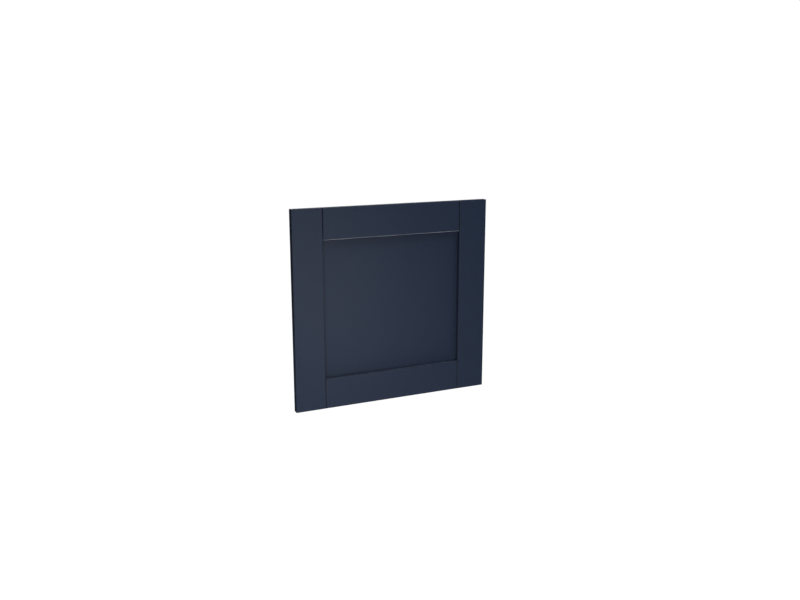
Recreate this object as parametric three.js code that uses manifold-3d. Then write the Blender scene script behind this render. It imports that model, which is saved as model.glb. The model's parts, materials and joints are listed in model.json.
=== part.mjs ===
// A shaker cabinet door: two stiles and two rails, grooved all round for a thin flat panel.
//
// Units are millimetres and +Z is up. X runs across the door, to the right as it is seen from
// the room, and Y runs from the room into the cabinet. The origin is at the middle of the
// door's bottom edge, so the front face lies at half the thickness on the -Y side.

import * as THREE from 'three';
import { mergeVertices } from 'three/addons/utils/BufferGeometryUtils.js';
import Module from 'manifold-3d';

// The whole door. It covers a cabinet 600 wide, less a 1.5 joint on each side.
const doorWidth = 597;
const doorHeight = 570;
const doorThickness = 19;

// Frame members. The inner bevel is the front arris round the panel; the stiles carry theirs
// from end to end, so it also draws the fine line between each stile and the rails.
const stileWidth = 88;
const railWidth = 88;
const innerBevel = 1.5;
const outerArris = 0.8;

// Panel and the groove that holds it. The lip is the wood left behind the groove.
const panelThickness = 6;
const panelArris = 0.6;
const grooveDepth = 13;
const grooveLip = 2.7;

// Rubber spacers in the groove, which centre the panel and stop it rattling.
const spacerDiameter = 5;
const spacerLength = 14;
const spacersPerSide = 2;

// Dowels, a pair in each corner joint. The room is the spare depth of bore past each end.
const dowelDiameter = 6;
const dowelLength = 50;
const dowelArris = 1;
const dowelPitch = 32;
const dowelRoom = 1.5;
const dowelClearance = 0.25;

// Tape that covers the sawn ends of the stiles.
const tapeThickness = 1;

// Bores for concealed cup hinges, in the back of the right stile. The margin is from the
// door's edge to the rim of the cup, and the end distance is to the cup's centre.
const cupDiameter = 35;
const cupDepth = 13;
const cupMargin = 5;
const cupEndDistance = 100;
const cupScrewPitch = 45;
const cupScrewOffset = 9.5;
const cupScrewDiameter = 2.5;
const cupScrewDepth = 10;

// Clearance between pieces that touch, and how far a cutter runs past the face it opens.
const gap = 0.3;
const overrun = 1;

// Number of sides on round work.
const boreSides = 24;
const cupSides = 64;
const screwSides = 12;
const spacerSides = 12;
const spacerCapSteps = 4;

// Places that follow from the sizes. Depths are measured from the front face.
const grooveBack = doorThickness - grooveLip;
const panelBack = grooveBack - gap;
const panelFront = panelBack - panelThickness;
const grooveFront = panelFront - gap;
const grooveMiddle = (grooveFront + grooveBack) / 2;
const panelEntry = grooveDepth - spacerDiameter - 2 * gap;
const endInset = tapeThickness + gap;
const openingWidth = doorWidth - 2 * stileWidth;
const openingHeight = doorHeight - 2 * railWidth;
const railLength = openingWidth - 2 * gap;
const railWeb = railWidth - grooveDepth;
const boreDiameter = dowelDiameter + 2 * dowelClearance;
const boreDepth = dowelLength / 2 + dowelRoom;
const dowelSetbacks = [
  { place: 'outer', distance: (railWeb - dowelPitch) / 2 },
  { place: 'inner', distance: (railWeb + dowelPitch) / 2 },
];
const cupEdgeDistance = cupMargin + cupDiameter / 2;

const quarterTurn = Math.PI / 2;

const wasm = await Module();
wasm.setup();

// Each piece has a material of its own, from one of four finishes.
const finishes = {
  navyWrap: { color: 0x353c4c, roughness: 0.48, metalness: 0 },
  navyTape: { color: 0x323948, roughness: 0.52, metalness: 0 },
  beech: { color: 0xc9a272, roughness: 0.7, metalness: 0 },
  rubber: { color: 0x1c1c1d, roughness: 0.85, metalness: 0 },
};

function piece(name, geometry, finish) {
  const material = new THREE.MeshStandardMaterial({ ...finishes[finish], flatShading: true });
  const mesh = new THREE.Mesh(geometry, material);
  mesh.name = name;
  return mesh;
}

function toSolid(geometry) {
  const bare = geometry.clone();
  bare.deleteAttribute('normal');
  bare.deleteAttribute('uv');
  const merged = mergeVertices(bare);
  return new wasm.Manifold(new wasm.Mesh({
    numProp: 3,
    vertProperties: new Float32Array(merged.attributes.position.array),
    triVerts: new Uint32Array(merged.index.array),
  }));
}

function toGeometry(solid) {
  const { vertProperties, triVerts } = solid.getMesh();
  const geometry = new THREE.BufferGeometry();
  geometry.setAttribute('position', new THREE.BufferAttribute(vertProperties, 3));
  geometry.setIndex(new THREE.BufferAttribute(triVerts, 1));
  geometry.computeVertexNormals();
  return geometry;
}

function cutAll(solid, cutters) {
  return cutters.reduce((rest, cutter) => rest.subtract(toSolid(cutter)), solid);
}

// ---- Frame members -------------------------------------------------------------------
// A member is drawn in its own frame: X from its outer edge to its inner edge, Y from its
// front face to its back face, and Z along its length. A quarter turn about Y takes each
// member to the next side of the frame, with its outer edge always outwards.

function outline(points) {
  return new THREE.Shape(points.map(([x, y]) => new THREE.Vector2(x, y)));
}

function memberOutline(width) {
  return outline([
    [outerArris, 0],
    [width - innerBevel, 0],
    [width, innerBevel],
    [width, grooveFront],
    [width - grooveDepth, grooveFront],
    [width - grooveDepth, grooveBack],
    [width, grooveBack],
    [width, doorThickness - outerArris],
    [width - outerArris, doorThickness],
    [outerArris, doorThickness],
    [0, doorThickness - outerArris],
    [0, outerArris],
  ]);
}

function tapeOutline() {
  return outline([
    [outerArris, 0],
    [stileWidth - innerBevel, 0],
    [stileWidth, innerBevel],
    [stileWidth, doorThickness - outerArris],
    [stileWidth - outerArris, doorThickness],
    [outerArris, doorThickness],
    [0, doorThickness - outerArris],
    [0, outerArris],
  ]);
}

function extrude(shape, length, start) {
  const geometry = new THREE.ExtrudeGeometry(shape, { depth: length, bevelEnabled: false });
  return geometry.translate(0, 0, start);
}

function cylinder(diameter, length, sides) {
  return new THREE.CylinderGeometry(diameter / 2, diameter / 2, length, sides);
}

// Bores across a stile, from its inner edge, at both ends of its length.
function stileDowelBores() {
  const length = boreDepth + overrun;
  const middle = stileWidth - boreDepth + length / 2;
  return dowelSetbacks.flatMap(({ distance }) => [distance, doorHeight - distance].map(
    (along) => cylinder(boreDiameter, length, boreSides)
      .rotateZ(quarterTurn)
      .translate(middle, grooveMiddle, along),
  ));
}

// Cup and screw bores for one hinge, from the back face of a stile.
function hingeBores(along) {
  const cup = cylinder(cupDiameter, cupDepth + overrun, cupSides)
    .translate(cupEdgeDistance, doorThickness - cupDepth + (cupDepth + overrun) / 2, along);
  const screws = [-1, 1].map((side) => cylinder(cupScrewDiameter, cupScrewDepth + overrun, screwSides)
    .translate(
      cupEdgeDistance + cupScrewOffset,
      doorThickness - cupScrewDepth + (cupScrewDepth + overrun) / 2,
      along + side * cupScrewPitch / 2,
    ));
  return [cup, ...screws];
}

function stileGeometry(hingeDistances) {
  const body = extrude(memberOutline(stileWidth), doorHeight - 2 * endInset, endInset);
  const bores = [...stileDowelBores(), ...hingeDistances.flatMap(hingeBores)];
  return toGeometry(cutAll(toSolid(body), bores));
}

// A rail's tongues are one bar that runs through it and out of both ends. They fill the
// stiles' grooves from the end tape down to the panel.
function railGeometry() {
  const body = extrude(memberOutline(railWidth), railLength, 0);
  const tongueWidth = railWeb - gap - endInset;
  const tongue = new THREE.BoxGeometry(tongueWidth, panelThickness, railLength + 2 * grooveDepth)
    .translate(endInset + tongueWidth / 2, grooveMiddle, railLength / 2);
  const cutLength = grooveDepth + overrun + boreDepth;
  const bores = dowelSetbacks.flatMap(({ distance }) => [0, railLength].map((end) => {
    const inwards = end === 0 ? 1 : -1;
    return cylinder(boreDiameter, cutLength, boreSides)
      .rotateX(quarterTurn)
      .translate(distance, grooveMiddle, end + inwards * (boreDepth - cutLength / 2));
  }));
  return toGeometry(cutAll(toSolid(body).add(toSolid(tongue)), bores));
}

// One side of the frame: its corner on the door's outline, and its quarter turns from the
// left stile's place.
function frameSide(x, z, turns, meshes) {
  const side = new THREE.Group();
  side.position.set(x, -doorThickness / 2, z);
  side.rotation.y = turns * quarterTurn;
  side.add(...meshes);
  return side;
}

function endTapes(first, last) {
  return [[first, 0], [last, doorHeight - tapeThickness]].map(([name, start]) => piece(
    `end_tape_${name}`,
    extrude(tapeOutline(), tapeThickness, start),
    'navyTape',
  ));
}

function frameMembers() {
  const hingeDistances = [cupEndDistance, doorHeight - cupEndDistance];
  const shoulder = openingWidth / 2 - gap;
  return [
    frameSide(-doorWidth / 2, 0, 0, [
      piece('left_stile', stileGeometry([]), 'navyWrap'),
      ...endTapes('bottom_left', 'top_left'),
    ]),
    frameSide(-shoulder, doorHeight, 1, [piece('top_rail', railGeometry(), 'navyWrap')]),
    frameSide(doorWidth / 2, doorHeight, 2, [
      piece('right_stile', stileGeometry(hingeDistances), 'navyWrap'),
      ...endTapes('top_right', 'bottom_right'),
    ]),
    frameSide(shoulder, 0, 3, [piece('bottom_rail', railGeometry(), 'navyWrap')]),
  ];
}

// ---- Panel and spacers ---------------------------------------------------------------

function centrePanel() {
  const halfWidth = openingWidth / 2 + panelEntry - panelArris;
  const halfHeight = openingHeight / 2 + panelEntry - panelArris;
  const face = outline([
    [-halfWidth, -halfHeight],
    [halfWidth, -halfHeight],
    [halfWidth, halfHeight],
    [-halfWidth, halfHeight],
  ]);
  const flat = panelThickness - 2 * panelArris;
  const board = new THREE.ExtrudeGeometry(face, {
    depth: flat,
    bevelThickness: panelArris,
    bevelSize: panelArris,
    bevelSegments: 1,
  }).translate(0, 0, -flat / 2).rotateX(quarterTurn);
  const panel = piece('centre_panel', board, 'navyWrap');
  panel.position.set(0, grooveMiddle - doorThickness / 2, doorHeight / 2);
  return panel;
}

// Spacers lie at the bottom of the grooves, evenly along each side of the panel.
function panelSpacers() {
  const fromMiddle = (opening) => opening / 2 + grooveDepth - gap - spacerDiameter / 2;
  const sides = [
    { side: 'left', across: -fromMiddle(openingWidth), run: openingHeight, upright: true },
    { side: 'right', across: fromMiddle(openingWidth), run: openingHeight, upright: true },
    { side: 'top', across: fromMiddle(openingHeight), run: openingWidth, upright: false },
    { side: 'bottom', across: -fromMiddle(openingHeight), run: openingWidth, upright: false },
  ];
  const middle = new THREE.Group();
  middle.position.set(0, grooveMiddle - doorThickness / 2, doorHeight / 2);
  for (const { side, across, run, upright } of sides) {
    for (let i = 0; i < spacersPerSide; i += 1) {
      const along = run * ((i + 0.5) / spacersPerSide - 0.5);
      const shape = new THREE.CapsuleGeometry(
        spacerDiameter / 2,
        spacerLength - spacerDiameter,
        spacerCapSteps,
        spacerSides,
      );
      const spacer = piece(`panel_spacer_${side}_${i + 1}`, shape, 'rubber');
      if (upright) {
        spacer.position.set(across, 0, along);
        spacer.rotation.x = quarterTurn;
      } else {
        spacer.position.set(along, 0, across);
        spacer.rotation.z = quarterTurn;
      }
      middle.add(spacer);
    }
  }
  return middle;
}

// ---- Dowels --------------------------------------------------------------------------

function dowelGeometry() {
  const radius = dowelDiameter / 2;
  const half = dowelLength / 2;
  const profile = [
    [0, -half],
    [radius - dowelArris, -half],
    [radius, dowelArris - half],
    [radius, half - dowelArris],
    [radius - dowelArris, half],
    [0, half],
  ].map(([r, y]) => new THREE.Vector2(r, y));
  return new THREE.LatheGeometry(profile, boreSides);
}

function cornerDowels() {
  const dowels = [];
  const jointPlane = openingWidth / 2 - gap / 2;
  for (const [side, x] of [['left', -jointPlane], ['right', jointPlane]]) {
    for (const { place, distance } of dowelSetbacks) {
      for (const [end, z] of [['bottom', distance], ['top', doorHeight - distance]]) {
        const dowel = piece(`dowel_${end}_${side}_${place}`, dowelGeometry(), 'beech');
        dowel.position.set(x, grooveMiddle - doorThickness / 2, z);
        dowel.rotation.z = quarterTurn;
        dowels.push(dowel);
      }
    }
  }
  return dowels;
}

const door = new THREE.Group();
door.name = 'shaker_cabinet_door';
door.add(...frameMembers(), centrePanel(), panelSpacers(), ...cornerDowels());

export default door;
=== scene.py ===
"""A shaker cabinet door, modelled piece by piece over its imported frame.

Run as a script, this registers an add-on, makes every piece with its operators and sets the
stage. Lengths are in metres. The door stands on the floor, its front looks along -Y, X runs
to the right as it is seen from the room, and Z is up.
"""

import json
import math
from contextlib import contextmanager

import bmesh
import bpy
from bpy.props import FloatProperty, FloatVectorProperty, IntProperty, PointerProperty
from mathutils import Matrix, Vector


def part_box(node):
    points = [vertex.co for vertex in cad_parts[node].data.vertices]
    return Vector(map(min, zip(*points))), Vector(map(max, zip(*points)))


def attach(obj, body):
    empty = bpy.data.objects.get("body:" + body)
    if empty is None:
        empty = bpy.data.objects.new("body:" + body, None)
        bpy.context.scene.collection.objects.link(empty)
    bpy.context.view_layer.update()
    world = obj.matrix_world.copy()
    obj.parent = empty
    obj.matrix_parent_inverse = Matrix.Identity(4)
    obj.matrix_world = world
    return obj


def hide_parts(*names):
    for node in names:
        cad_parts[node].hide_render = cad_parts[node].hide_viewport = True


bl_info = {
    "name": "Shaker Cabinet Door",
    "version": (1, 0, 0),
    "blender": (4, 5, 0),
    "location": "View3D > Sidebar > Shaker Door",
    "description": "Models a framed cabinet door with a recessed panel",
    "category": "Add Mesh",
}

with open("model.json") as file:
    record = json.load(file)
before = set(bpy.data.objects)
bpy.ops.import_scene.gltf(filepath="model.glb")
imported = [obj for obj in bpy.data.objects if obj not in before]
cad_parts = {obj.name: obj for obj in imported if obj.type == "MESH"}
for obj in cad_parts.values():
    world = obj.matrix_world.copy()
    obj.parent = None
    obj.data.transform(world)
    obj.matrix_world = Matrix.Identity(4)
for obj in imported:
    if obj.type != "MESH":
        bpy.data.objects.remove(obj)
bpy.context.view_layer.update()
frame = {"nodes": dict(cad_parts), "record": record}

MM = 0.001
TOUCH = 0.01 * MM  # two places nearer than this are the same place
SAME_WAY = 0.99  # directions whose product is above this point the same way
SQUARE = 0.999  # a normal with a part above this is square to the door
LEANING = 0.1  # a normal with a part above this leans that way
SMOOTH_ANGLE = math.radians(40)  # edges flatter than this are shaded smooth
X, Y, Z = 0, 1, 2
UP = Vector((0, 0, 1))
RIGHT = Vector((1, 0, 0))
BACK = Vector((0, 1, 0))

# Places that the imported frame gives.
LEFT_LOW, LEFT_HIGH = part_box("left_stile")
RIGHT_LOW, RIGHT_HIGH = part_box("right_stile")
TOP_LOW, TOP_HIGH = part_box("top_rail")
BOTTOM_LOW, BOTTOM_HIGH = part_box("bottom_rail")
PANEL_LOW, PANEL_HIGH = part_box("centre_panel")
TAPE_LOW, TAPE_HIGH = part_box("end_tape_top_left")
FRONT = LEFT_LOW.y
REAR = LEFT_HIGH.y
OPENING_LEFT = LEFT_HIGH.x
OPENING_RIGHT = RIGHT_LOW.x
DOOR_MIDDLE = Vector((LEFT_LOW.x + RIGHT_HIGH.x, FRONT + REAR, BOTTOM_LOW.z + TOP_HIGH.z)) / 2
TONGUE_LENGTH = OPENING_LEFT - TOP_LOW.x
DOWEL_NODES = sorted(name for name in frame["nodes"] if name.startswith("dowel_"))
SPACER_NODES = sorted(name for name in frame["nodes"] if name.startswith("panel_spacer_"))
CUP_BOXES = [opening["box_m"] for opening in frame["record"]["physics"]["openings"]]

# How many flats make up each round, and how many sides each round bar has.
INNER_STEPS = 5
OUTER_STEPS = 4
JOINT_STEPS = 3
TAPE_STEPS = 2
DOWEL_END_STEPS = 2
SPACER_END_STEPS = 8
CUP_SIDES = 96
DOWEL_BORE_SIDES = 32
SCREW_SIDES = 20
SPACER_SIDES = 32

# Roughness of the finishes: 0 is a mirror and 1 is chalk.
FILM_ROUGHNESS = 0.47
FIBRE_ROUGHNESS = 0.82
WOOD_ROUGHNESS = 0.66
RUBBER_ROUGHNESS = 0.78
FLOOR_ROUGHNESS = 0.9

# The view of the door.
CAMERA_PLACE = (-0.9904, -2.1891, 0.8436)
CAMERA_TURN = math.radians(24.87)  # to the right of straight ahead
CAMERA_DIP = math.radians(12.885)  # below the horizon
CAMERA_LENS = 38.6
CAMERA_SENSOR = 36.0

# The white studio: how bright its floor and air look, how much of the floor's look is that glow,
# and how much the air itself lights.
WHITE = (1, 1, 1, 1)
WHITE_GLOW = 1.035
GLOW_SHARE = 0.97
AIR_FILL = 0.05
FLOOR_RADIUS = 9
FLOOR_SIDES = 96
FLOOR_DROP = 0.2 * MM  # the floor lies this far under the door


# ---- Settings ------------------------------------------------------------------------


def length(name, description, default):
    return FloatProperty(
        name=name, description=description, default=default, min=0, subtype="DISTANCE", unit="LENGTH"
    )


def colour(name, description, default):
    return FloatVectorProperty(
        name=name, description=description, default=default, size=3, min=0, max=1, subtype="COLOR"
    )


class ShakerDoorSizes(bpy.types.PropertyGroup):
    """The small sizes that finish the door's pieces"""

    inner_round: length("Inner round", "Radius of the front arris round the panel", 1.5 * MM)
    outer_round: length("Outer round", "Radius of the members' other long arrises", 0.8 * MM)
    joint_gap: length("Joint gap", "Open line left between a rail's shoulder and the stile", 0.3 * MM)
    joint_round: length("Joint round", "Radius of the rails' front arrises at the joints", 1.8 * MM)
    tape_round: length("Tape round", "Radius of the end tapes' trimmed edge", 0.35 * MM)
    panel_chamfer: length("Panel chamfer", "Chamfer round the edge of the panel", 0.6 * MM)
    glue_line: length("Glue line", "Gap left between boards that meet", 0.06 * MM)
    groove_room: length("Groove room", "Clearance on each side of the panel in its groove", 0.3 * MM)
    bore_room: length("Bore room", "Clearance round a dowel in its bore", 0.25 * MM)
    glue_room: length("Glue room", "Depth of bore left past the end of a dowel", 1.5 * MM)
    cup_diameter: length("Cup bore", "Diameter of the hinge cup bores", 35 * MM)
    cup_pip: length("Centre mark", "Depth of the mark that the cutter's point leaves", 1.0 * MM)
    screw_diameter: length("Screw bore", "Diameter of the hinge screw bores", 2.5 * MM)
    screw_depth: length("Screw depth", "Depth of the hinge screw bores", 10 * MM)
    screw_pitch: length("Screw pitch", "Distance between a hinge's two screws", 45 * MM)
    screw_offset: length("Screw offset", "Screw line's distance inwards of the cup's centre", 9.5 * MM)
    dowel_chamfer: length("Dowel chamfer", "Chamfer at the ends of a dowel", 0.9 * MM)
    dowel_flutes: IntProperty(name="Flutes", description="Glue flutes round a dowel", default=16, min=6)
    flute_depth: length("Flute depth", "Depth of a dowel's glue flutes", 0.3 * MM)
    spacer_ridge: length("Spacer ridge", "Height of the moulded ridges on a spacer", 0.15 * MM)


class ShakerDoorColours(bpy.types.PropertyGroup):
    """The colours of the door's finishes"""

    wrap: colour("Wrap", "Satin film on the stiles and rails", (0.012, 0.0212, 0.045))
    panel: colour("Panel", "Satin film on the centre panel", (0.012, 0.0212, 0.045))
    tape: colour("Tape", "Edge tape on the stiles' ends", (0.011, 0.0198, 0.043))
    board: colour("Board", "Raw fibreboard in bores and grooves", (0.36, 0.235, 0.13))
    dowel: colour("Dowel", "Hardwood of the dowels", (0.58, 0.37, 0.17))
    rubber: colour("Rubber", "Rubber of the panel spacers", (0.012, 0.012, 0.013))
    floor: colour("Floor", "Studio floor", (0.9, 0.9, 0.9))


# ---- Materials -----------------------------------------------------------------------


class Value:
    """An output socket; arithmetic on one that carries a number adds Math nodes."""

    def __init__(self, wiring, socket):
        self.wiring = wiring
        self.socket = socket

    def maths(self, operation, first, second):
        return self.wiring.node("ShaderNodeMath", {"operation": operation}, {0: first, 1: second})

    def __add__(self, other):
        return self.maths("ADD", self, other)

    def __radd__(self, other):
        return self.maths("ADD", other, self)

    def __sub__(self, other):
        return self.maths("SUBTRACT", self, other)

    def __rsub__(self, other):
        return self.maths("SUBTRACT", other, self)

    def __mul__(self, other):
        return self.maths("MULTIPLY", self, other)

    def __rmul__(self, other):
        return self.maths("MULTIPLY", other, self)

    def ramp(self, low, high):
        """0 below low and 1 above high, smoothly between them."""
        settings = {"interpolation_type": "SMOOTHSTEP"}
        return self.wiring.node(
            "ShaderNodeMapRange", settings, {"Value": self, "From Min": low, "From Max": high}
        )

    def swing(self, amount):
        """A pattern from 0 to 1, made to vary about 0 by this much in all."""
        return (self - 0.5) * amount


class Wiring:
    """A node tree on its way, empty at first."""

    def __init__(self, owner):
        owner.use_nodes = True
        self.tree = owner.node_tree
        self.tree.nodes.clear()

    def node(self, kind, settings=None, sockets=None, output=0):
        """Adds a node: its settings first, then the values or links of its sockets."""
        made = self.tree.nodes.new(kind)
        for name, value in (settings or {}).items():
            setattr(made, name, value)
        for name, value in (sockets or {}).items():
            if isinstance(value, Value):
                self.tree.links.new(value.socket, made.inputs[name])
            else:
                made.inputs[name].default_value = value
        return Value(self, made.outputs[output]) if made.outputs else None


class Finish(Wiring):
    """A material on its way, with the patterns that its finish is made of."""

    def __init__(self, name):
        self.material = bpy.data.materials.new(name)
        super().__init__(self.material)
        self.place = self.node("ShaderNodeTexCoord", output="Object")

    def noise(self, size, detail=2.0, stretch=(1, 1, 1)):
        """Noise from 0 to 1 whose patches are about this size, in metres."""
        spread = self.node("ShaderNodeMapping", None, {"Vector": self.place, "Scale": stretch})
        sockets = {"Vector": spread, "Scale": 1 / size, "Detail": detail}
        return self.node("ShaderNodeTexNoise", None, sockets)

    def mark(self, name):
        """A mark written on the piece's faces, 0 or 1."""
        return self.node("ShaderNodeAttribute", {"attribute_name": name}, output="Fac")

    def mix(self, share, first, second):
        """The first colour, going over to the second as share goes from 0 to 1."""
        settings = {"data_type": "RGBA", "blend_type": "MIX"}
        sockets = {"Factor": share, 6: first, 7: second}
        return self.node("ShaderNodeMix", settings, sockets, output=2)

    def bump(self, height, distance, strength):
        sockets = {"Height": height, "Distance": distance, "Strength": strength}
        return self.node("ShaderNodeBump", None, sockets)

    def surface(self, **sockets):
        """Ends the material with a Principled surface; a socket's name has _ for a space."""
        named = {name.replace("_", " "): value for name, value in sockets.items()}
        shader = self.node("ShaderNodeBsdfPrincipled", None, named)
        self.node("ShaderNodeOutputMaterial", None, {"Surface": shader})
        return self.material


def opaque(rgb, lightness=1.0):
    """A colour made lighter or darker, with full alpha."""
    return (*(channel * lightness for channel in rgb), 1.0)


def glowing_floor(name, rgb):
    """A pale floor lit from below, as a light table is, so that hardly any shadow shows."""
    finish = Finish(name)
    shade = finish.noise(400 * MM)
    base = finish.mix(shade, opaque(rgb, 0.99), opaque(rgb))
    matt = {"Base Color": base, "Roughness": FLOOR_ROUGHNESS}
    coat = finish.node("ShaderNodeBsdfPrincipled", None, matt)
    glow = finish.node("ShaderNodeEmission", None, {"Color": WHITE, "Strength": WHITE_GLOW})
    lit = finish.node("ShaderNodeMixShader", None, {0: GLOW_SHARE, 1: coat, 2: glow})
    finish.node("ShaderNodeOutputMaterial", None, {"Surface": lit})
    return finish.material


def film(name, rgb):
    """Satin film pressed on board: fine orange peel, painted shade that darkens the arrises, and rubbed
    lighter spots on them.
    """
    finish = Finish(name)
    drift = finish.noise(90 * MM)
    mottle = finish.noise(7 * MM, 3)
    peel = finish.noise(2.2 * MM)
    grit = finish.noise(0.8 * MM, 1)
    arris = finish.mark("arris")
    polish = finish.mark("polish")
    rub = arris * finish.noise(9 * MM, 3).ramp(0.5, 0.7)
    flat = finish.mix(drift * 0.6 + mottle * 0.4, opaque(rgb, 0.93), opaque(rgb, 1.07))
    # Painted shade: the film colour is darkened on every arris except the polished one, standing in for
    # the shade along edges and joint lines.
    arris_painted_shade = finish.mix(arris * (1 - polish), flat, opaque(rgb, 0.35))
    worn_and_shaded = finish.mix(rub * 0.25, arris_painted_shade, opaque(rgb, 1.3))
    return finish.surface(
        Base_Color=worn_and_shaded,
        Roughness=FILM_ROUGHNESS + mottle.swing(0.08) + grit.swing(0.05) - rub * 0.08,
        Normal=finish.bump(peel * 0.7 + grit * 0.3, 0.03 * MM, 0.6),
        IOR=1.46,
        Specular_IOR_Level=0.25,
        Coat_Weight=polish,
        Coat_Roughness=0.3,
        Coat_IOR=1.7,
    )


def raw_board(name, rgb):
    """Sawn and bored fibreboard: short pale and dark fibres, and no shine."""
    finish = Finish(name)
    fibre = finish.noise(0.9 * MM, 4, stretch=(1, 1, 0.4))
    clump = finish.noise(5 * MM, 3)
    shade = (fibre * 0.7 + clump * 0.3).ramp(0.3, 0.7)
    return finish.surface(
        Base_Color=finish.mix(shade, opaque(rgb, 0.72), opaque(rgb, 1.22)),
        Roughness=FIBRE_ROUGHNESS + fibre.swing(0.2),
        Normal=finish.bump(fibre, 0.12 * MM, 0.7),
    )


def hardwood(name, rgb):
    """Straight-grained dowel wood, its grain along X, with fine dark pores."""
    finish = Finish(name)
    grain = finish.noise(0.5 * MM, 3, stretch=(0.05, 1, 1))
    pores = finish.noise(0.25 * MM, stretch=(0.12, 1, 1)).ramp(0.62, 0.72)
    tone = finish.mix(grain.ramp(0.3, 0.7), opaque(rgb, 0.84), opaque(rgb, 1.12))
    return finish.surface(
        Base_Color=finish.mix(pores * 0.5, tone, opaque(rgb, 0.45)),
        Roughness=WOOD_ROUGHNESS + grain.swing(0.15),
        Normal=finish.bump(grain - pores * 0.6, 0.05 * MM, 0.6),
    )


def moulded_rubber(name, rgb):
    """Dull black rubber with a chalky bloom."""
    finish = Finish(name)
    bloom = finish.noise(1.6 * MM, 3)
    grain = finish.noise(0.3 * MM)
    return finish.surface(
        Base_Color=finish.mix(bloom.ramp(0.35, 0.75), opaque(rgb), opaque(rgb, 2.2)),
        Roughness=RUBBER_ROUGHNESS + bloom.swing(0.2),
        Normal=finish.bump(grain, 0.03 * MM, 0.6),
    )


def material(name, maker, *values):
    """The named material, made the first time that it is asked for."""
    return bpy.data.materials.get(name) or maker(name, *values)


def film_and_board(colours, kind="wrap"):
    """The two finishes of a covered board: its film, then the raw board inside."""
    return [
        material(f"navy_{kind}_film", film, getattr(colours, kind)),
        material("raw_fibreboard", raw_board, colours.board),
    ]


# ---- Modelling by hand ---------------------------------------------------------------


def only(*objects):
    """Selects these objects and nothing else; the first is the active one."""
    bpy.ops.object.select_all(action="DESELECT")
    for item in objects:
        item.select_set(True)
    bpy.context.view_layer.objects.active = objects[0]


@contextmanager
def editing(piece):
    """Edit mode on this piece alone, for as long as the block lasts."""
    only(piece)
    bpy.ops.object.mode_set(mode="EDIT")
    try:
        yield
    finally:
        bpy.ops.object.mode_set(mode="OBJECT")


def pick(piece, kind, test):
    """In edit mode, selects only the faces or edges that pass the test."""
    bpy.ops.mesh.select_mode(type=kind)
    bpy.ops.mesh.select_all(action="DESELECT")
    mesh = bmesh.from_edit_mesh(piece.data)
    found = [item for item in (mesh.faces if kind == "FACE" else mesh.edges) if test(item)]
    for item in found:
        item.select_set(True)
    bmesh.update_edit_mesh(piece.data)
    if not found:
        raise RuntimeError(f"{piece.name}: nothing to select")


def lies_at(planes):
    """A test for faces and edges that lie wholly at these places, given as axis: place."""
    return lambda item: all(
        abs(vertex.co[axis] - place) < TOUCH for vertex in item.verts for axis, place in planes.items()
    )


def faces_along(direction):
    """A test for faces that look this way."""
    return lambda face: face.normal.dot(direction) > SAME_WAY


def middle_between(axis, low, high):
    """A test, in edit mode, for faces whose middles lie between these two places."""
    return lambda face: low < face.calc_center_median()[axis] < high


def beyond(axis, low, high):
    """A test, out of edit mode, for faces that lie at or past these two places."""
    return lambda face: not low + TOUCH < face.center[axis] < high - TOUCH


def both(*tests):
    """A test for what passes all of these tests."""
    return lambda item: all(test(item) for test in tests)


def either(*tests):
    """A test for what passes any of these tests."""
    return lambda item: any(test(item) for test in tests)


def slice_at(axis, place):
    """In edit mode, cuts every face where it crosses this plane."""
    bpy.ops.mesh.select_all(action="SELECT")
    normal = Vector((0, 0, 0))
    normal[axis] = 1
    bpy.ops.mesh.bisect(plane_co=normal * place, plane_no=normal)


def pull(offset):
    """In edit mode, extrudes the selected faces by this vector."""
    bpy.ops.mesh.extrude_region_move(TRANSFORM_OT_translate={"value": offset})


def round_over(piece, test, radius, steps):
    """In edit mode, rounds the edges that pass the test, or chamfers them in one step."""
    pick(piece, "EDGE", test)
    bpy.ops.mesh.bevel(offset=radius, segments=steps, profile=0.5, affect="EDGES")


def add_block(name, low, high):
    """A square block between these two corners."""
    bpy.ops.object.select_all(action="DESELECT")
    bpy.ops.mesh.primitive_cube_add(size=1, location=(low + high) / 2, scale=high - low)
    block = bpy.context.object
    block.name = name
    bpy.ops.object.transform_apply(location=True, rotation=True, scale=True)
    return block


def add_rod(name, direction, diameter, near, far, sides):
    """A round bar on the line through the origin in this direction, from near to far along it."""
    bpy.ops.object.select_all(action="DESELECT")
    bpy.ops.mesh.primitive_cylinder_add(
        vertices=sides,
        radius=diameter / 2,
        depth=far - near,
        location=direction * (near + far) / 2,
        rotation=direction.to_track_quat("Z", "Y").to_euler(),
    )
    rod = bpy.context.object
    rod.name = name
    bpy.ops.object.transform_apply(location=True, rotation=True, scale=True)
    return rod


def copied(model, name, place=(0, 0, 0), turn=(0, 0, 0), scale=(1, 1, 1)):
    """A copy of the model with a mesh of its own, turned and scaled about the origin, then moved."""
    piece = model.copy()
    piece.data = model.data.copy()
    piece.name = name
    piece.location = place
    piece.rotation_euler = turn
    piece.scale = scale
    bpy.context.scene.collection.objects.link(piece)
    only(piece)
    bpy.ops.object.transform_apply(location=True, rotation=True, scale=True)
    return piece


def mirrored(model, name, *axes):
    """A copy of the model on the other side of the door's middle, along each of these axes."""
    place = Vector((0, 0, 0))
    scale = Vector((1, 1, 1))
    for axis in axes:
        place[axis] = 2 * DOOR_MIDDLE[axis]
        scale[axis] = -1
    piece = copied(model, name, place, scale=scale)
    with editing(piece):
        bpy.ops.mesh.select_all(action="SELECT")
        bpy.ops.mesh.normals_make_consistent(inside=False)
    return piece


def discard(model):
    bpy.data.meshes.remove(model.data)


def node_size(node):
    low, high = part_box(node)
    return high - low


def node_middle(node):
    low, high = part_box(node)
    return (low + high) / 2


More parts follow.
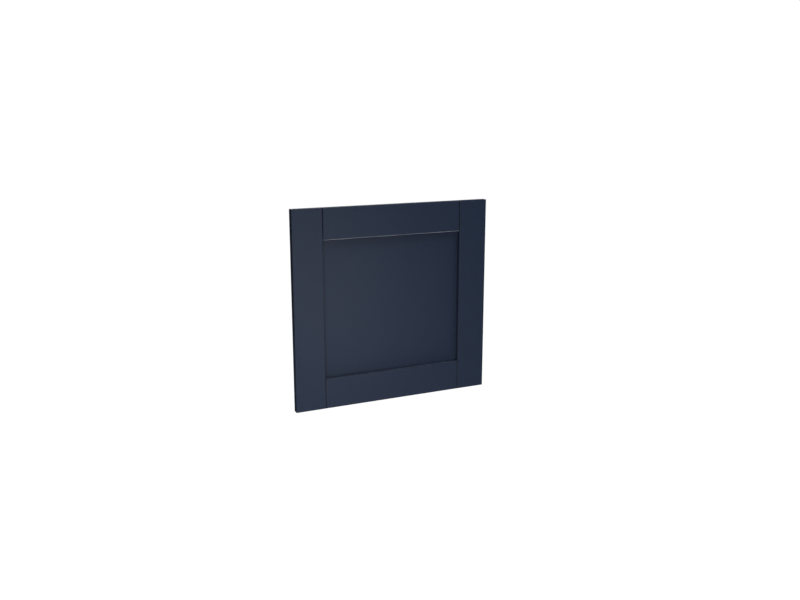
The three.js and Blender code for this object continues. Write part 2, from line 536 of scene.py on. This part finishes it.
def cut(piece, cutters, inside):
    """Cuts the cutters out of the piece; the new walls take the inside finish."""
    only(*cutters)
    bpy.ops.object.join()
    cutter = bpy.context.object
    cutter.data.materials.clear()
    cutter.data.materials.append(inside)
    only(piece)
    uncut = len(piece.data.polygons)
    modifier = piece.modifiers.new("Bores", "BOOLEAN")
    modifier.operation = "DIFFERENCE"
    modifier.solver = "EXACT"
    modifier.material_mode = "TRANSFER"
    modifier.object = cutter
    bpy.ops.object.modifier_apply(modifier=modifier.name)
    discard(cutter)
    if len(piece.data.polygons) == uncut:
        raise RuntimeError(f"{piece.name}: the bores cut nothing")


def paint(piece, finishes, inner_faces=None):
    """Gives the piece its finishes: the first all over, the second where the test says."""
    piece.data.materials.clear()
    for finish in finishes:
        piece.data.materials.append(finish)
    if inner_faces:
        for face in piece.data.polygons:
            face.material_index = int(inner_faces(face))


def mark_arrises(piece, handled=None):
    """Writes where the film turns a corner, and which of its corners hands have polished."""
    # The arris mark also tells the film where to paint shade darker. The polish mark spares that arris
    # from the painted shade and gives it the coat.
    marks = [piece.data.attributes.new(name, "FLOAT", "FACE").data for name in ("arris", "polish")]
    for face, arris, polish in zip(piece.data.polygons, *marks):
        slanted = max(abs(part) for part in face.normal) < SQUARE
        arris.value = float(slanted and face.material_index == 0)
        polish.value = float(bool(arris.value and handled and handled(face)))


def finish_piece(piece, slot, *nodes):
    """Smooths the piece's rounds, keeps its flats flat, and puts it in place of CAD nodes."""
    only(piece)
    bpy.ops.object.shade_smooth_by_angle(angle=SMOOTH_ANGLE)
    weighting = piece.modifiers.new("Flats", "WEIGHTED_NORMAL")
    weighting.keep_sharp = True
    bpy.ops.object.modifier_apply(modifier=weighting.name)
    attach(piece, "root")
    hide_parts(*nodes)


# ---- Frame members -------------------------------------------------------------------


def groove_planes(sizes):
    """Front wall and back wall of the panel groove."""
    return PANEL_LOW.y - sizes.groove_room, PANEL_HIGH.y + sizes.groove_room


def groove_depth(sizes):
    return TONGUE_LENGTH + sizes.groove_room


def add_member(name, low, high, inner, sizes):
    """A frame member with its rounds and its panel groove; inner points to the panel.

    The solid part behind the groove comes first. Its inner side is cut along the groove's
    two walls, and the strips beside the groove are then pulled out into lips.
    """
    front_wall, back_wall = groove_planes(sizes)
    depth = groove_depth(sizes)
    across = X if inner.x else Z
    web_low, web_high = low.copy(), high.copy()
    inwards = inner[across] > 0
    (web_high if inwards else web_low)[across] -= inner[across] * depth
    edge, outer_edge = (high, low) if inwards else (low, high)
    member = add_block(name, web_low, web_high)
    with editing(member):
        slice_at(Y, front_wall)
        slice_at(Y, back_wall)
        beside = either(middle_between(Y, FRONT, front_wall), middle_between(Y, back_wall, REAR))
        pick(member, "FACE", both(faces_along(inner), beside))
        pull(inner * depth)
        front_arris = lies_at({Y: FRONT, across: edge[across]})
        round_over(member, front_arris, sizes.inner_round, INNER_STEPS)
        for face, side in ((FRONT, outer_edge), (REAR, outer_edge), (REAR, edge)):
            arris = lies_at({Y: face, across: side[across]})
            round_over(member, arris, sizes.outer_round, OUTER_STEPS)
    return member


def in_groove(inner, web, sizes):
    """A test for the groove's own walls; web is where the groove's floor lies."""
    front_wall, back_wall = groove_planes(sizes)
    across = X if inner.x else Z

    def test(face):
        out_of_web = (face.center[across] - web) * inner[across] > -TOUCH
        return out_of_web and front_wall - TOUCH < face.center.y < back_wall + TOUCH

    return test


def dowel_bores(sizes, belongs):
    """Bores for the dowels whose middles belong to a member, with room for glue past their ends."""
    size = node_size(DOWEL_NODES[0])
    reach = size.x / 2 + sizes.glue_room
    diameter = size.z + 2 * sizes.bore_room
    model = add_rod("dowel_bore", RIGHT, diameter, -reach, reach, DOWEL_BORE_SIDES)
    middles = [node_middle(node) for node in DOWEL_NODES]
    bores = [copied(model, "dowel_bore", middle) for middle in middles if belongs(middle)]
    discard(model)
    return bores


def hinge_bores(sizes):
    """Cup and screw bores for every hinge, cut from the back of the door."""
    floor = CUP_BOXES[0][0][Y]
    mouth = REAR + MM  # the cutters stand a little out of the wood
    pip_radius = 1.5 * sizes.cup_pip
    model = add_rod("hinge_bore", BACK, sizes.cup_diameter, floor, mouth, CUP_SIDES)
    with editing(model):
        pick(model, "FACE", faces_along(-BACK))
        bpy.ops.mesh.inset(thickness=sizes.cup_diameter / 2 - pip_radius)
        pull(-BACK * sizes.cup_pip)
        bpy.ops.mesh.merge(type="CENTER")
    tip = REAR - sizes.screw_depth
    screw = add_rod("screw_bore", BACK, sizes.screw_diameter, tip, mouth, SCREW_SIDES)
    places = [Vector((-sizes.screw_offset, 0, side * sizes.screw_pitch / 2)) for side in (-1, 1)]
    only(model, *(copied(screw, "screw_bore", place) for place in places))
    bpy.ops.object.join()
    discard(screw)
    bores = []
    for low, high in CUP_BOXES:
        middle = (Vector(low) + Vector(high)) / 2
        bores.append(copied(model, "hinge_bore", (middle.x, 0, middle.z)))
    discard(model)
    return bores


class SHAKERDOOR_OT_stiles(bpy.types.Operator):
    """Add the two full-height uprights, the right one bored for hinges"""

    bl_idname = "shaker_door.stiles"
    bl_label = "Stiles"
    bl_options = {"REGISTER", "UNDO"}

    def execute(self, context):
        sizes = context.scene.shaker_door_sizes
        colours = context.scene.shaker_door_colours
        finishes = film_and_board(colours)
        tape = TAPE_HIGH.z - TAPE_LOW.z + sizes.glue_line
        low = Vector((LEFT_LOW.x, FRONT, BOTTOM_LOW.z + tape))
        high = Vector((LEFT_HIGH.x, REAR, TOP_HIGH.z - tape))
        left = add_member("left_stile_board", low, high, RIGHT, sizes)
        groove = in_groove(RIGHT, high.x - groove_depth(sizes), sizes)
        paint(left, finishes, either(groove, beyond(Z, low.z, high.z)))
        right = mirrored(left, "right_stile_board", X)
        cut(left, dowel_bores(sizes, lambda middle: middle.x < 0), finishes[1])
        bores = dowel_bores(sizes, lambda middle: middle.x > 0) + hinge_bores(sizes)
        cut(right, bores, finishes[1])
        for stile, node in ((left, "left_stile"), (right, "right_stile")):
            mark_arrises(stile)
            finish_piece(stile, "navy_wrap", node)
        return {"FINISHED"}


class SHAKERDOOR_OT_rails(bpy.types.Operator):
    """Add the two rails, with the tongues that fill the stiles' grooves"""

    bl_idname = "shaker_door.rails"
    bl_label = "Rails"
    bl_options = {"REGISTER", "UNDO"}

    def execute(self, context):
        sizes = context.scene.shaker_door_sizes
        colours = context.scene.shaker_door_colours
        finishes = film_and_board(colours)
        low = Vector((OPENING_LEFT + sizes.joint_gap, FRONT, BOTTOM_LOW.z))
        high = Vector((OPENING_RIGHT - sizes.joint_gap, REAR, BOTTOM_HIGH.z))
        groove_floor = high.z - groove_depth(sizes)
        bottom = add_member("bottom_rail_board", low, high, UP, sizes)
        with editing(bottom):
            for shoulder in (low.x, high.x):
                joint = lies_at({X: shoulder, Y: FRONT})
                round_over(bottom, joint, sizes.joint_round, JOINT_STEPS)
            foot = low.z + TAPE_HIGH.z - TAPE_LOW.z + sizes.groove_room
            head = groove_floor - sizes.groove_room
            self.add_tongues(bottom, foot, head, low.x, high.x)
        groove = in_groove(UP, groove_floor, sizes)
        paint(bottom, finishes, either(groove, beyond(X, OPENING_LEFT, OPENING_RIGHT)))
        top = mirrored(bottom, "top_rail_board", Z)
        cut(bottom, dowel_bores(sizes, lambda middle: middle.z < DOOR_MIDDLE.z), finishes[1])
        cut(top, dowel_bores(sizes, lambda middle: middle.z > DOOR_MIDDLE.z), finishes[1])
        mark_arrises(bottom)
        mark_arrises(top, self.lower_front)
        finish_piece(bottom, "navy_wrap", "bottom_rail")
        finish_piece(top, "navy_wrap", "top_rail")
        return {"FINISHED"}

    def lower_front(self, face):
        """Whether a face belongs to the front arris under the top rail, where hands pull."""
        return face.normal.y < 0 and face.normal.z < -LEANING

    def add_tongues(self, rail, foot, head, left, right):
        """In edit mode, pulls a tongue out of each shoulder, between the heights foot and head."""
        for axis, place in ((Y, PANEL_LOW.y), (Y, PANEL_HIGH.y), (Z, foot), (Z, head)):
            slice_at(axis, place)
        for shoulder, outwards in ((left, -RIGHT), (right, RIGHT)):
            stub = both(
                faces_along(outwards),
                lies_at({X: shoulder}),
                middle_between(Y, PANEL_LOW.y, PANEL_HIGH.y),
                middle_between(Z, foot, head),
            )
            pick(rail, "FACE", stub)
            pull(outwards * TONGUE_LENGTH)


# ---- Panel, tapes, dowels and spacers ------------------------------------------------


class SHAKERDOOR_OT_panel(bpy.types.Operator):
    """Add the flat panel that lies in the grooves"""

    bl_idname = "shaker_door.panel"
    bl_label = "Centre Panel"
    bl_options = {"REGISTER", "UNDO"}

    def execute(self, context):
        sizes = context.scene.shaker_door_sizes
        colours = context.scene.shaker_door_colours
        panel = add_block("centre_panel_board", PANEL_LOW, PANEL_HIGH)
        with editing(panel):
            rim = either(lies_at({Y: PANEL_LOW.y}), lies_at({Y: PANEL_HIGH.y}))
            round_over(panel, rim, sizes.panel_chamfer, 1)
        paint(panel, film_and_board(colours, "panel"), lambda face: abs(face.normal.y) < SQUARE)
        mark_arrises(panel)
        finish_piece(panel, "navy_panel", "centre_panel")
        return {"FINISHED"}


class SHAKERDOOR_OT_tapes(bpy.types.Operator):
    """Add the tapes that cover the stiles' sawn ends"""

    bl_idname = "shaker_door.tapes"
    bl_label = "End Tapes"
    bl_options = {"REGISTER", "UNDO"}

    def execute(self, context):
        sizes = context.scene.shaker_door_sizes
        colours = context.scene.shaker_door_colours
        low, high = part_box("end_tape_bottom_left")
        model = add_block("tape_strip", low, high)
        with editing(model):
            round_over(model, lies_at({X: high.x, Y: FRONT}), sizes.inner_round, INNER_STEPS)
            for side, face in ((low.x, FRONT), (low.x, REAR), (high.x, REAR)):
                round_over(model, lies_at({X: side, Y: face}), sizes.outer_round, OUTER_STEPS)
            pick(model, "FACE", lies_at({Z: low.z}))
            bpy.ops.mesh.region_to_loop()
            bpy.ops.mesh.bevel(offset=sizes.tape_round, segments=TAPE_STEPS, affect="EDGES")
        paint(model, [material("navy_tape_film", film, colours.tape)])
        mark_arrises(model)
        for node, axes in (
            ("end_tape_bottom_left", ()),
            ("end_tape_bottom_right", (X,)),
            ("end_tape_top_left", (Z,)),
            ("end_tape_top_right", (X, Z)),
        ):
            finish_piece(mirrored(model, f"{node}_strip", *axes), "navy_tape", node)
        discard(model)
        return {"FINISHED"}


class SHAKERDOOR_OT_dowels(bpy.types.Operator):
    """Add the fluted dowels of the four corner joints"""

    bl_idname = "shaker_door.dowels"
    bl_label = "Dowels"
    bl_options = {"REGISTER", "UNDO"}

    def execute(self, context):
        sizes = context.scene.shaker_door_sizes
        colours = context.scene.shaker_door_colours
        size = node_size(DOWEL_NODES[0])
        reach = size.x / 2
        model = add_rod("dowel_pin", RIGHT, size.z, -reach, reach, 2 * sizes.dowel_flutes)
        with editing(model):
            ends = either(lies_at({X: -reach}), lies_at({X: reach}))
            round_over(model, ends, sizes.dowel_chamfer, DOWEL_END_STEPS)
            self.cut_flutes(model, sizes)
        paint(model, [material("dowel_hardwood", hardwood, colours.dowel)])
        for node in DOWEL_NODES:
            finish_piece(copied(model, f"{node}_pin", node_middle(node)), "dowel_beech", node)
        discard(model)
        return {"FINISHED"}

    def cut_flutes(self, model, sizes):
        """In edit mode, sinks every other side face between the chamfers."""
        step = math.pi / sizes.dowel_flutes

        def every_other(face):
            centre = face.calc_center_median()
            turn = math.atan2(centre.z, centre.y) % (2 * math.pi)
            return abs(face.normal.x) < TOUCH and int(turn / step) % 2 == 0

        pick(model, "FACE", every_other)
        depth = sizes.flute_depth
        bpy.ops.mesh.inset(thickness=depth / 3, depth=-depth, use_individual=True)


class SHAKERDOOR_OT_spacers(bpy.types.Operator):
    """Add the rubber spacers that centre the panel"""

    bl_idname = "shaker_door.spacers"
    bl_label = "Panel Spacers"
    bl_options = {"REGISTER", "UNDO"}

    def execute(self, context):
        sizes = context.scene.shaker_door_sizes
        colours = context.scene.shaker_door_colours
        size = node_size(SPACER_NODES[0])
        reach = max(size) / 2
        body = size.y - 2 * sizes.spacer_ridge
        end_round = 0.49 * body  # just short of a half ball
        model = add_rod("spacer_barrel", UP, body, -reach, reach, SPACER_SIDES)
        with editing(model):
            ends = either(lies_at({Z: -reach}), lies_at({Z: reach}))
            round_over(model, ends, end_round, SPACER_END_STEPS)
            self.add_ridges(model, reach, sizes)
        paint(model, [material("spacer_rubber", moulded_rubber, colours.rubber)])
        for node in SPACER_NODES:
            size = node_size(node)
            turn = (0, math.pi / 2, 0) if size.x > size.z else (0, 0, 0)
            spacer = copied(model, f"{node}_barrel", node_middle(node), turn)
            finish_piece(spacer, "spacer_rubber", node)
        discard(model)
        return {"FINISHED"}

    def add_ridges(self, model, reach, sizes):
        """In edit mode, raises three moulded rings on the straight part of the barrel."""
        pitch = reach / 3.5
        half_width = 2 * sizes.spacer_ridge
        for middle in (-pitch, 0, pitch):
            low, high = middle - half_width, middle + half_width
            slice_at(Z, low)
            slice_at(Z, high)
            pick(model, "FACE", middle_between(Z, low, high))
            bpy.ops.mesh.extrude_region_shrink_fatten(
                TRANSFORM_OT_shrink_fatten={"value": sizes.spacer_ridge}
            )


# ---- Stage ---------------------------------------------------------------------------


# Soft lights round the door: bearing from straight ahead, positive to the right, height angle,
# distance, side of the square and power in watts. The low ones stand for a bright floor.
SOFTBOXES = {
    "front": (0, 5, 1.4, 0.6, 2),
    "sheen": (9, -13, 1.45, 0.4, 4),
    "high_right": (60, 55, 4.0, 1.8, 110),
    "high_front": (0, 65, 4.0, 1.8, 10),
    "overhead": (20, 80, 4.0, 1.8, 60),
    "low_left": (-50, -30, 1.4, 0.6, 9),
    "foot_right": (75, -55, 4.0, 1.8, 70),
    "under": (60, -80, 4.0, 1.8, 80),
    "back": (165, -10, 3.0, 1.8, 60),
    "high_back": (180, 60, 3.0, 1.8, 60),
}


def add_softbox(name, aim, bearing, rise, distance, side, power):
    """A square soft light that looks at its aim, and is itself never seen."""
    bearing, rise = math.radians(bearing), math.radians(rise)
    level = Vector((math.sin(bearing), -math.cos(bearing), 0))
    away = level * math.cos(rise) + UP * math.sin(rise)
    lamp = bpy.data.lights.new(f"{name}_softbox", "AREA")
    lamp.shape = "SQUARE"
    lamp.size = side
    lamp.energy = power
    box = bpy.data.objects.new(f"{name}_softbox", lamp)
    box.location = aim + away * distance
    box.rotation_euler = (-away).to_track_quat("-Z", "Y").to_euler()
    box.visible_camera = False
    bpy.context.scene.collection.objects.link(box)


class SHAKERDOOR_OT_stage(bpy.types.Operator):
    """Set the pale floor, the soft light and the camera"""

    bl_idname = "shaker_door.stage"
    bl_label = "Stage"
    bl_options = {"REGISTER", "UNDO"}

    def execute(self, context):
        colours = context.scene.shaker_door_colours
        self.add_floor(colours)
        self.add_light()
        self.add_camera()
        context.scene.view_settings.view_transform = "Standard"
        return {"FINISHED"}

    def add_floor(self, colours):
        bpy.ops.object.select_all(action="DESELECT")
        bpy.ops.mesh.primitive_circle_add(
            vertices=FLOOR_SIDES, radius=FLOOR_RADIUS, fill_type="NGON", location=(0, 0, -FLOOR_DROP)
        )
        floor = bpy.context.object
        floor.name = "studio_floor"
        bpy.ops.object.transform_apply(location=True, rotation=True, scale=True)
        floor.data.materials.append(material("studio_floor", glowing_floor, colours.floor))
        for ray in ("diffuse", "glossy", "shadow"):
            setattr(floor, f"visible_{ray}", False)

    def add_light(self):
        world = bpy.data.worlds.new("studio_air")
        air = Wiring(world)
        seen = air.node("ShaderNodeBackground", None, {"Color": WHITE, "Strength": WHITE_GLOW})
        fill = air.node("ShaderNodeBackground", None, {"Color": WHITE, "Strength": AIR_FILL})
        looked_at = air.node("ShaderNodeLightPath", output="Is Camera Ray")
        mixed = air.node("ShaderNodeMixShader", None, {0: looked_at, 1: fill, 2: seen})
        air.node("ShaderNodeOutputWorld", None, {"Surface": mixed})
        bpy.context.scene.world = world
        for name, settings in SOFTBOXES.items():
            add_softbox(name, DOOR_MIDDLE, *settings)

    def add_camera(self):
        lens = bpy.data.cameras.new("front_left_camera")
        lens.lens = CAMERA_LENS
        lens.sensor_width = CAMERA_SENSOR
        camera = bpy.data.objects.new("front_left_camera", lens)
        camera.location = CAMERA_PLACE
        camera.rotation_euler = (math.pi / 2 - CAMERA_DIP, 0, -CAMERA_TURN)
        bpy.context.scene.collection.objects.link(camera)
        bpy.context.scene.camera = camera


class SHAKERDOOR_PT_sidebar(bpy.types.Panel):
    """Lists the door's pieces and settings in the sidebar"""

    bl_label = "Shaker Door"
    bl_idname = "SHAKERDOOR_PT_sidebar"
    bl_space_type = "VIEW_3D"
    bl_region_type = "UI"
    bl_category = "Shaker Door"

    def draw(self, context):
        for group in (context.scene.shaker_door_sizes, context.scene.shaker_door_colours):
            column = self.layout.column()
            for name in group.bl_rna.properties.keys():
                if name not in ("rna_type", "name"):
                    column.prop(group, name)
        for operator in OPERATORS:
            self.layout.operator(operator.bl_idname)


OPERATORS = (
    SHAKERDOOR_OT_stage,
    SHAKERDOOR_OT_stiles,
    SHAKERDOOR_OT_rails,
    SHAKERDOOR_OT_panel,
    SHAKERDOOR_OT_tapes,
    SHAKERDOOR_OT_dowels,
    SHAKERDOOR_OT_spacers,
)
CLASSES = (ShakerDoorSizes, ShakerDoorColours, *OPERATORS, SHAKERDOOR_PT_sidebar)


def register():
    for item in CLASSES:
        bpy.utils.register_class(item)
    bpy.types.Scene.shaker_door_sizes = PointerProperty(type=ShakerDoorSizes)
    bpy.types.Scene.shaker_door_colours = PointerProperty(type=ShakerDoorColours)


def unregister():
    del bpy.types.Scene.shaker_door_colours
    del bpy.types.Scene.shaker_door_sizes
    for item in reversed(CLASSES):
        bpy.utils.unregister_class(item)


def main():
    register()
    for operator in OPERATORS:
        group, name = operator.bl_idname.split(".")
        getattr(getattr(bpy.ops, group), name)()


if __name__ == "__main__":
    main()
